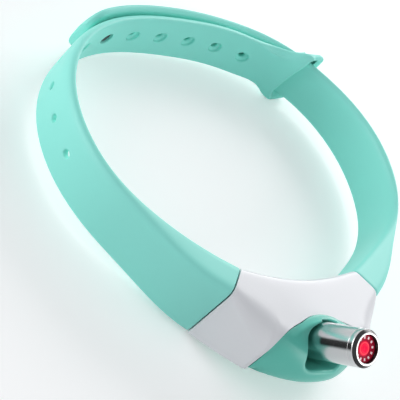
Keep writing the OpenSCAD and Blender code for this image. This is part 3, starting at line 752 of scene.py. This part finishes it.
def edge_radius(side):
    """Radius of the case's outer front edge: large beside the pod, small at the straps and in the middle."""
    if side > FACET_ANGLE:
        return mix(WIDE_EDGE, END_EDGE, ease((side - FACET_ANGLE) / (CASE_ANGLE - FACET_ANGLE)))
    return mix(WIDE_EDGE, MIDDLE_EDGE, math.cos(math.radians(90 * side / FACET_ANGLE)) ** 2)


def cover_rows(angle, inset):
    """Points of the cover's section from its outer back edge over the front to its inner back edge."""
    side = abs(angle)
    corner = edge_radius(side)
    body, inner, top = case_out(angle) - inset, case_in(angle) + inset, CASE_HIGH - inset
    outer = body
    if side < FACET_ANGLE - 0.001:
        outer = min(body, edge_behind(angle, seam_line, SEAM_GAP))
    start = math.acos(max(0.0, corner - (body - outer)) / corner)
    edge = top - corner + corner * math.sin(start)
    band = ease((SEAM_ANGLE - side) / 6)
    base = mix(belly_height(case_point(angle, outer, 0).y) + inset, edge - BAND_HIGH, band)
    span = edge - base
    tight = min(1.0, span / 11)
    middle = mix(BUTTON_Z, base + 0.45 * span, band)
    upper = mix(min(14.2, edge - 0.7), base + 0.8 * span, band)
    rows = [(outer - COVER_WALL, base), (outer - 0.3, base), (outer, base + 0.3 * tight),
            (outer, base + 1.2 * tight), (outer, middle), (outer, upper),
            (outer, edge - 0.5 * tight), (outer, edge - 0.12 * tight)]
    slant = math.tan(HEAD_TILT) * ease((12 - side) / 6)
    rows = [(off - slant * max(0.0, edge - z - 1.5), z) for off, z in rows]
    bend = corner * (math.pi / 2 - start)
    stretch = max(1.0, 1.12 * bend / TOP_STEPS[-1])
    for run in (stretch * step for step in TOP_STEPS):
        if run < bend:
            turn = start + run / corner
            rows.append((body - corner + corner * math.cos(turn), top - corner + corner * math.sin(turn)))
        else:
            rows.append((min(outer, body - corner) - (run - bend), top))
    last = rows[-1][0]
    round_in = inner + NECK_EDGE
    rows += [(mix(last, round_in, t), top) for t in (0.3, 0.65, 1.0)]
    for turn in (30, 60, 90):
        t = math.radians(turn)
        rows.append((round_in - NECK_EDGE * math.sin(t), top - NECK_EDGE + NECK_EDGE * math.cos(t)))
    rows += [(inner, z) for z in (14, BUTTON_Z, 5, 1.4, 0.4 + inset)]
    rows += [(inner + 0.3, inset), (inner + COVER_WALL, inset)]
    return [case_point(angle, off, z) for off, z in rows]


def facet_point(run, height=0.0):
    """Point on the right slanted face, by its distance from the strap."""
    flat = SEAM_OUT + run * FACET_DIR
    return Vector((flat.x, flat.y, height))


def cover_stations():
    """Angles across the cover with their insets, which round its ends."""
    arch = [0, 1.2, 2.4, 3.6, 5, 6.5, 8, 9.5, 11, 12.4, 13.6, 14.6, 15.4, 15.9, SEAM_ANGLE, 16.45]
    flats = [facet_point(run) for run in (15.0, 14.5, 13.0, BUTTON_RUN, 4.2, 2.0, 0.7, 0.18)]
    face = [math.degrees(math.atan2(p.x, -p.y)) for p in flats]
    half = [(a, 0.0) for a in arch + [FACET_ANGLE] + face + [CASE_ANGLE]]
    half += [(CASE_ANGLE, 0.14), (CASE_ANGLE - 0.1, 0.6), (CASE_ANGLE - 0.2, 1.6)]
    return [(-a, inset) for a, inset in reversed(half[1:])] + half


def sheet_of(rows):
    """Grid with one column for each list of points in rows."""
    bm = bmesh.new()
    columns, count = len(rows) - 1, len(rows[0]) - 1
    bmesh.ops.create_grid(bm, x_segments=columns, y_segments=count, size=0.5)
    for v in bm.verts:
        v.co = rows[round((v.co.x + 0.5) * columns)][round((v.co.y + 0.5) * count)]
    return bm


def face_outwards(bm, inside):
    """Turns an open sheet's faces away from a point that lies behind them."""
    bmesh.ops.recalc_face_normals(bm, faces=bm.faces)
    bm.normal_update()
    tally = sum(f.normal.dot(f.calc_center_median() - Vector(inside)) * f.calc_area() for f in bm.faces)
    if tally < 0:
        bmesh.ops.reverse_faces(bm, faces=bm.faces)


def ring_cut(bm, centre, across, along, rings):
    """Round recess in a sheet: the faces round its nearest vertex become rings of (radius, depth)."""
    face = open_patch(bm, centre)
    inward = -across.cross(along)
    for radius, depth in rings:
        turns = [math.atan2((v.co - centre).dot(along), (v.co - centre).dot(across)) for v in face.verts]
        face = bmesh.ops.extrude_discrete_faces(bm, faces=[face])["faces"][0]
        for v, turn in zip(face.verts, turns):
            even = round(turn / EIGHTH_TURN) * EIGHTH_TURN
            ray = math.cos(even) * across + math.sin(even) * along
            v.co = centre + radius / RING_SHRINK * ray + depth * inward
    return face


def white_cover():
    bm = sheet_of([cover_rows(a, inset) for a, inset in cover_stations()])
    hole = ring_cut(bm, facet_point(BUTTON_RUN, BUTTON_Z), FACET_ALONG, UP, BUTTON_HOLE)
    bmesh.ops.delete(bm, geom=[hole], context="FACES_ONLY")
    face_outwards(bm, CASE_HEART)
    to_piece(bm, "white_cover", WHITE_PLASTIC, "collar", ["cover_shell"], 2,
             wall=COVER_WALL, turned=True)


# Mint pod and back plate
POD_WALL, MOUTH_POINTS = 0.4, 144
POD_SHARES = (0, 0.05, 0.13, 0.24, 0.37, 0.5, 0.63, 0.75, 0.86, 0.94, 0.985, 1)
POCKET_DEEP, POCKET_ROOT, POCKET_SLOPE, POCKET_MOUTH = 5.1, 5.21, 0.2126, 7.25
NUDGES = Vector((0.05, 0, 0)), Vector((0, 0.05, 0)), Vector((0, 0, 0.05))
PLATE_HALF = [0, 2.4, 4.8, 7.2, 9.4, 11.3, 13.2, 15.1, 16.7, 18.5, 20.5, 22.5, 24.5, 26.5, 28.3, 28.6]
PLATE_SHARES = (0, 0.02, 0.09, 0.2, 0.32, 0.44, 0.56, 0.68, 0.8, 0.91, 0.98, 1)
PLATE_INSET, PLATE_GAP, PLATE_LIFT, PLATE_THICK = 1.75, 0.04, 0.03, 1.7
SCREW_X, SCREW_Y = 9.9, -42.2
SCREW_HOLE = ((1.62, 0), (1.45, 0.03), (1.4, 0.25), (1.4, 0.9), (1.2, 0.95))


def pod_depth(p):
    """Below nought inside the pod: round wall, belly, flat front, sloping front and the barrel's collar."""
    wall = math.hypot(p.x, p.y - POD_Y) - POD_RADIUS
    belly = math.hypot(p.y - BELLY_Y, p.z - BELLY_Z) - BELLY_RADIUS
    from_pivot = p - PIVOT
    along, up = from_pivot.dot(HEAD_AXIS), from_pivot.dot(HEAD_UP)
    turn = min(1.0, math.degrees(math.atan2(abs(p.x), -p.y)) / FACET_ANGLE)
    share = math.cos(math.radians(90 * turn)) ** 2
    under = soft_max(wall - 0.45 * share, belly - 0.5 * share, mix(1.2, 2.6, share))
    front = soft_max(p.z - CASE_HIGH, along - POD_FRONT, 3)
    body = soft_max(under, front, 1.17 * edge_radius(FACET_ANGLE * turn))
    collar_front = mix(COLLAR_LOW_FRONT, COLLAR_FRONT, ease((up + 3) / 9)) - 2.2 * ease(abs(p.x) / 6)
    collar_wall = math.hypot(p.x * COLLAR_RADIUS / COLLAR_WIDE, up) - COLLAR_RADIUS
    collar = soft_max(collar_wall, along - collar_front, 0.6)
    return -soft_max(-body, -collar, 2.4)


def mouth_ring(count):
    """Points (x, up) of the barrel pocket's mouth, evenly spaced, in the frame of the laser head."""
    wide, high, low, corner, flat = 5.6, 4.98, -POCKET_MOUTH, 2.5, 0.3
    turns = [math.pi / 2 * i / 24 for i in range(25)]
    line = [Vector((flat + (wide - flat) * math.cos(t), high * math.sin(t))) for t in turns]
    line += [Vector((-p.x, p.y)) for p in reversed(line)]
    for centre, first in (((-wide + corner, low + corner), 180), ((wide - corner, low + corner), 270)):
        turns = [math.radians(first + 90 * i / 12) for i in range(13)]
        line += [Vector(centre) + corner * Vector((math.cos(t), math.sin(t))) for t in turns]
    line = [Vector((p.x * (1 + 0.09 * ease(-p.y / 7)), p.y)) for p in line]
    line.append(line[0])
    runs = [0.0]
    for a, b in zip(line, line[1:]):
        runs.append(runs[-1] + (b - a).length)
    ring = []
    for i in range(count):
        want = runs[-1] * i / count
        k = min(bisect_right(runs, want), len(runs) - 1) - 1
        ring.append(line[k].lerp(line[k + 1], (want - runs[k]) / max(1e-9, runs[k + 1] - runs[k])))
    return ring


def head_point(x, up, along):
    return HEAD_TURN @ Vector((x, up, along))


def pocket_rows(mouth, top):
    """Points of the pocket from its closed end up to its rim."""
    def height(along):
        if mouth.y > 0:
            return mouth.y
        return mouth.y * (POCKET_ROOT + POCKET_SLOPE * along) / POCKET_MOUTH

    rows = []
    for deep in (90, 76, 52, 26):
        t = math.radians(deep)
        side = mouth.x * math.cos(t) ** 0.5
        rows.append(head_point(side, height(0) * math.cos(t), -POCKET_DEEP * math.sin(t)))
    for along in (0, 2.5, 5, 7.3, top - 1.0, top - 0.4):
        rows.append(head_point(mouth.x, height(along), along))
    return rows


def pod_rows(mouth):
    """Points from the pocket's closed end over its rim and the pod's skin to the seam and the lip behind."""
    out = mouth.normalized()
    rim = mouth + 0.5 * out
    top = solve(0, 14, lambda along: pod_depth(head_point(rim.x, rim.y, along)) < 0)
    heart = 3.0
    stride = math.radians(3)

    def skin(theta):
        def at(reach):
            side = reach * math.sin(theta)
            return head_point(out.x * side, out.y * side, heart + reach * math.cos(theta))
        return at(solve(0, 40, lambda reach: pod_depth(at(reach)) < 0))

    def before_seam(theta):
        p = skin(theta)
        line = seam_line(p.x) if p.z > 14 else arch_line(p.x)
        return p.y < line and abs(p.x) < FACET_END.x

    first = math.atan2(rim.length, top - heart)
    step = first
    while step < math.pi and before_seam(step):
        step += stride
    last = solve(max(first, step - stride), step, before_seam)
    rows = pocket_rows(mouth, top)
    rows.append(head_point(mouth.x + 0.13 * out.x, mouth.y + 0.13 * out.y, top - 0.1))
    rows += [skin(mix(first, last, share)) for share in POD_SHARES]
    seam = rows[-1]
    outward = Vector([pod_depth(seam + d) - pod_depth(seam - d) for d in NUDGES]).normalized()
    return rows + [seam - depth * outward for depth in (0.14, 0.6, 1.8)]


def mint_pod():
    rows = [pod_rows(mouth) for mouth in mouth_ring(MOUTH_POINTS)]
    bm = sheet_of(rows + [rows[0]])
    bmesh.ops.remove_doubles(bm, verts=bm.verts, dist=0.004)
    face_outwards(bm, POD_HEART)
    to_piece(bm, "mint_pod", MINT_PLASTIC, "collar", ["pod_case"], 1,
             wall=POD_WALL, turned=True)


def plate_rows(angle):
    """Points of the back plate from the cover's outer wall or the pod to the cover's neck side."""
    outer, inner = case_out(angle) - PLATE_INSET, case_in(angle) + PLATE_INSET
    if abs(angle) < FACET_ANGLE:
        outer = min(outer, edge_behind(angle, arch_line, PLATE_GAP))
    flats = [case_point(angle, mix(outer, inner, share), 0) for share in PLATE_SHARES]
    return [Vector((p.x, p.y, belly_height(p.y) + PLATE_LIFT)) for p in flats]


def back_plate():
    bm = sheet_of([plate_rows(a) for a in [-a for a in reversed(PLATE_HALF[1:])] + PLATE_HALF])
    face_outwards(bm, CASE_HEART)
    bmesh.ops.solidify(bm, geom=bm.faces[:], thickness=PLATE_THICK)
    bmesh.ops.recalc_face_normals(bm, faces=bm.faces)
    for side in (-1, 1):
        centre = Vector((side * SCREW_X, SCREW_Y, PLATE_LIFT))
        ring_cut(bm, centre, Vector((1, 0, 0)), Vector((0, -1, 0)), SCREW_HOLE)
    to_piece(bm, "back_plate", MINT_PLASTIC, "collar", ["pod_case"], 2, turned=True)


# Turned pieces, from profiles of (radius, height, rounding)
BARREL_RADIUS, BARREL_BORE, BARREL_FRONT, BORE_END = 4.75, 3.75, 21, 2.4
WINDOW_RADIUS, WINDOW_STEPS, WINDOW_Z = 3.4, 96, 0.4
RIB_IN, RIB_OUT, RIB_HIGH, RIB_SPACING, RIB_WIDTH = 2.36, 3.0, 0.16, 8, 3
CROSS_REACH, CROSS_HALF, CROSS_DEEP, SCREW_TOP = 0.58, 0.17, 0.42, 0.02
PAD_RUNS, PAD_IN = (5.296, 8.296), 7.5
BARREL_PROFILE = (
    (BARREL_RADIUS, 0, 0), (BARREL_RADIUS, BARREL_FRONT, 0.18), (BARREL_BORE, BARREL_FRONT, 0.1),
    (BARREL_BORE, BORE_END, 0.2), (0, BORE_END, 0))
BEZEL_PROFILE = (
    (3.45, 0.9, 0), (3.45, 2.3, 0.14), (4.0, 2.3, 0.1), (4.75, 1.4, 0.2), (4.75, 0.02, 0.08),
    (3.7, 0.02, 0.05), (3.7, -1.6, 0.05), (3.0, -1.6, 0.05), (3.0, 0.4, 0.05), (3.45, 0.4, 0.02),
    (3.45, 0.9, 0))
WINDOW_PROFILE = (
    (0, 0.84, 0), (0.55, 0.83, 0.1), (0.62, 0.76, 0.06), (0.8, 0.76, 0.06), (0.88, 0.82, 0.08),
    (1.2, 0.79, 0.08), (1.27, 0.72, 0.06), (1.45, 0.72, 0.06), (1.53, 0.77, 0.08), (1.68, 0.72, 0.1),
    (1.8, 0.58, 0.1), (2.3, 0.56, 0.1), (RIB_IN, 0.6, 0), (RIB_OUT, 0.6, 0), (3.1, 0.62, 0.08),
    (3.2, 0.86, 0.1), (WINDOW_RADIUS, 0.88, 0.06), (WINDOW_RADIUS, 0.02, 0.06), (0, 0.02, 0))
STUD_PROFILE = (
    (0, 0.42, 0), (1.3, 0.5, 0.3), (1.7, 0.78, 0.12), (1.7, 1.02, 0.1), (1.1, 1.16, 0.06),
    (1.1, 4.4, 0.1), (2.97, 4.6, 0.1), (2.97, 5.62, 0.2), (1.9, 5.62, 0.15), (1.75, 5.5, 0.1),
    (0, 5.5, 0))
BUTTON_PROFILE = (
    (0, 0.2, 0), (1.5, 0.26, 0.4), (2.2, 0.42, 0.3), (2.97, 0.38, 0.3), (2.97, -2.1, 0.05),
    (3.47, -2.1, 0.05), (3.47, -2.6, 0.05), (0, -2.6, 0))
SCREW_PROFILE = (
    (0.62, SCREW_TOP, 0), (1.28, 0.06, 0.12), (1.28, 0.78, 0.05), (0.6, 0.8, 0.05), (0.6, 9.8, 0.1),
    (0, 9.85, 0))
PAD_PROFILE = ((0, -0.12, 0), (0.8, -0.1, 0.2), (1.08, 0.05, 0.15), (1.1, 0.9, 0.05), (0, 0.9, 0))

# Colours of the window's painted glow, by the share of its radius
GLOW_MIDDLE, GLOW_RIM = (1.0, 0.0, 0.05, 1), (0.03, 0.0, 0.004, 1)
GLOW_RINGS = (
    (0.24, (1.0, 0.0, 0.05, 1)), (0.28, (1.0, 0.03, 0.08, 1)), (0.32, (0.95, 0.003, 0.05, 1)),
    (0.37, (1.0, 0.02, 0.06, 1)), (0.41, (1.0, 0.12, 0.14, 1)), (0.45, (0.9, 0.02, 0.07, 1)),
    (0.50, (0.62, 0.02, 0.06, 1)), (0.56, (0.16, 0.003, 0.02, 1)), (0.85, (0.13, 0.002, 0.014, 1)))


def rounded(points):
    """Line along a profile whose corners are turned into short arcs."""
    line = []
    for i, (x, z, r) in enumerate(points):
        p = Vector((x, z))
        if r == 0 or i in (0, len(points) - 1):
            line.append(p)
            continue
        a, b = Vector(points[i - 1][:2]) - p, Vector(points[i + 1][:2]) - p
        a, b = p + min(r, 0.45 * a.length) * a.normalized(), p + min(r, 0.45 * b.length) * b.normalized()
        line += [a.lerp(p, t).lerp(p.lerp(b, t), t) for t in (0, 0.2, 0.4, 0.6, 0.8, 1)]
    return line


def turned_form(profile, steps):
    """Form turned about z from a profile."""
    bm = bmesh.new()
    points = [bm.verts.new((p.x, 0, p.y)) for p in rounded(profile)]
    edges = [bm.edges.new(pair) for pair in zip(points, points[1:])]
    bmesh.ops.spin(bm, geom=points + edges, axis=(0, 0, 1), cent=(0, 0, 0), angle=2 * math.pi,
                   steps=steps, use_merge=True)
    bmesh.ops.remove_doubles(bm, verts=bm.verts, dist=0.0005)
    bmesh.ops.recalc_face_normals(bm, faces=bm.faces)
    return bm


def set_in(bm, place):
    bmesh.ops.transform(bm, matrix=place, verts=bm.verts)
    return bm


def on_head(bm, along):
    """Sets a form in on the laser head's axis."""
    return set_in(bm, HEAD_TURN @ Matrix.Translation((0, 0, along)))


def add_form(both, bm, place):
    """Adds a form in its place to a piece made of two."""
    mesh = mesh_of(set_in(bm, place), "one_form")
    both.from_mesh(mesh)
    bpy.data.meshes.remove(mesh)


def laser_tube():
    turns = [math.radians(-90 + 5 * i) for i in range(18)]
    root = [(max(0.0, BARREL_RADIUS * math.cos(t)), BARREL_RADIUS * math.sin(t), 0) for t in turns]
    bm = turned_form((*root, *BARREL_PROFILE), 128)
    to_piece(set_in(bm, HEAD_TURN), "laser_tube", BRIGHT_METAL, "laser_head",
             ["laser_barrel"])


def front_bezel():
    """Dark ring with a bright lip round the window and a bright band behind its bevel."""
    bm = turned_form(BEZEL_PROFILE, 128)
    for f in bm.faces:
        middle = f.calc_center_median()
        across = math.hypot(middle.x, middle.y)
        lip = middle.z > 2.2 and 3.5 < across < 3.99
        band = middle.z < 1.46 and across > 4.6
        if lip or band:
            f.material_index = 1
    piece = to_piece(on_head(bm, BARREL_FRONT), "front_bezel", DARK_BEZEL, "laser_head",
                     ["barrel_bezel"])
    piece.data.materials.append(BRIGHT_METAL)


def red_window():
    """Moulded red window with a ringed bull's eye and a ring of short ribs."""
    bm = turned_form(WINDOW_PROFILE, WINDOW_STEPS)
    ribs = []
    for f in bm.faces:
        middle = f.calc_center_median()
        turn = math.degrees(math.atan2(middle.y, middle.x)) % 360
        on_rib = int(turn / (360 / WINDOW_STEPS)) % RIB_SPACING < RIB_WIDTH
        if RIB_IN < math.hypot(middle.x, middle.y) < RIB_OUT and middle.z > 0.5 and on_rib:
            ribs.append(f)
    tops = grow_region(bm, ribs)
    bmesh.ops.translate(bm, verts=list({v for f in tops for v in f.verts}), vec=(0, 0, RIB_HIGH))
    bmesh.ops.delete(bm, geom=[f for f in ribs if f.is_valid], context="FACES_ONLY")
    # The rib tops take the window_ribs finish, whose pink emission is a painted glow.
    for f in tops:
        f.material_index = 1
    piece = to_piece(on_head(bm, BARREL_FRONT + WINDOW_Z), "red_window", RED_WINDOW, "laser_head",
                     ["front_window"])
    piece.data.materials.append(WINDOW_RIBS)


def paint_window_glow(made):
    """Painted glow of the window in place of the lit lens and toothed nut behind it: rings of painted light
    round the laser head's axis, dark red towards the rim.
    """
    tree = made.node_tree
    place = add_node(tree, "ShaderNodeTexCoord")
    local = add_node(tree, "ShaderNodeMapping", vector_type="TEXTURE")
    feed(local, Vector=place.outputs["Object"], Location=PIVOT * MM, Rotation=(HEAD_TILT, 0, 0))
    parts = add_node(tree, "ShaderNodeSeparateXYZ")
    feed(parts, Vector=local.outputs["Vector"])
    squares = [maths(tree, "MULTIPLY", parts.outputs[axis], parts.outputs[axis]) for axis in ("X", "Y")]
    reach = maths(tree, "SQRT", maths(tree, "ADD", *squares))
    ramp = add_node(tree, "ShaderNodeValToRGB")
    feed(ramp, Fac=maths(tree, "DIVIDE", reach, WINDOW_RADIUS * MM))
    stops = ramp.color_ramp.elements
    stops[0].color, stops[1].color = GLOW_MIDDLE, GLOW_RIM
    for share, colour in GLOW_RINGS:
        stops.new(share).color = colour
    feed(tree.nodes["Principled BSDF"], Emission_Color=ramp.outputs["Color"])


def push_stud():
    """Stud in the strap's hole, its axis pointing away from the neck."""
    here = loop_point(STUD_ANGLE, 0)
    out = (loop_point(STUD_ANGLE, 1) - here).to_3d()
    turn = Matrix((UP.cross(out), UP, out)).transposed().to_4x4()
    place = Matrix.Translation((here.x, here.y, STRAP_MIDDLE)) @ turn
    bm = turned_form(STUD_PROFILE, 64)
    to_piece(set_in(bm, place), "push_stud", STUD_GREY, "tail", ["clasp_stud"])


def push_button():
    turn = Matrix((FACET_ALONG, FACET_OUT.cross(FACET_ALONG), FACET_OUT)).transposed().to_4x4()
    place = Matrix.Translation(facet_point(BUTTON_RUN, BUTTON_Z)) @ turn
    bm = turned_form(BUTTON_PROFILE, 96)
    to_piece(set_in(bm, place), "push_button", MINT_PLASTIC, "button", ["power_button"])


def cross_screws():
    """Two screws whose flat heads have a cross-shaped recess."""
    both = bmesh.new()
    for side in (-1, 1):
        bm = turned_form(SCREW_PROFILE, 32)
        rim = [e for e in bm.edges if e.is_boundary]
        recess = bmesh.ops.contextual_create(bm, geom=rim)["faces"][0]
        for depth in (0.0, CROSS_DEEP):
            recess = bmesh.ops.extrude_discrete_faces(bm, faces=[recess])["faces"][0]
            for v in recess.verts:
                turn = math.atan2(v.co.y, v.co.x)
                reach = math.hypot(v.co.x, v.co.y)
                if depth == 0:
                    off_arm = abs((turn + EIGHTH_TURN) % (2 * EIGHTH_TURN) - EIGHTH_TURN)
                    reach = min(CROSS_REACH, CROSS_HALF / max(0.05, math.sin(off_arm)))
                v.co = (reach * math.cos(turn), reach * math.sin(turn), SCREW_TOP + depth)
        add_form(both, bm, Matrix.Translation((side * SCREW_X, SCREW_Y, 0.1)))
    to_piece(both, "cross_screws", PLAIN_STEEL, "collar", ["case_screws"])


def charge_pads():
    """Two charging pads that follow the belly's slope."""
    both = bmesh.new()
    for run in PAD_RUNS:
        flat = facet_point(run) - PAD_IN * FACET_OUT
        low = belly_height(flat.y)
        lean = Vector((0, flat.y - BELLY_Y, low - BELLY_Z)).to_track_quat("-Z", "Y").to_matrix().to_4x4()
        bm = turned_form(PAD_PROFILE, 48)
        add_form(both, bm, Matrix.Translation((flat.x, flat.y, low)) @ lean)
    to_piece(both, "charge_pads", TURNED_BRASS, "collar", ["charge_contacts"])


photo_camera()
white_surround()
paper_floor()
dark_flag()
softbox("right_softbox", (0.50, 0.30, 0.30), 0.40, 0.40, 2.5)
softbox("front_softbox", (0.40, -0.55, 0.25), 0.40, 0.40, 1.4)
softbox("left_softbox", (-0.52, 0.26, 0.20), 0.45, 0.45, 0.75)
softbox("low_softbox", (-0.58, 0.24, 0.10), 0.50, 0.20, 1.2)
paint_window_glow(RED_WINDOW)
finish_cad_nodes()
long_strap()
short_strap()
white_cover()
mint_pod()
back_plate()
laser_tube()
front_bezel()
red_window()
push_stud()
push_button()
cross_screws()
charge_pads()
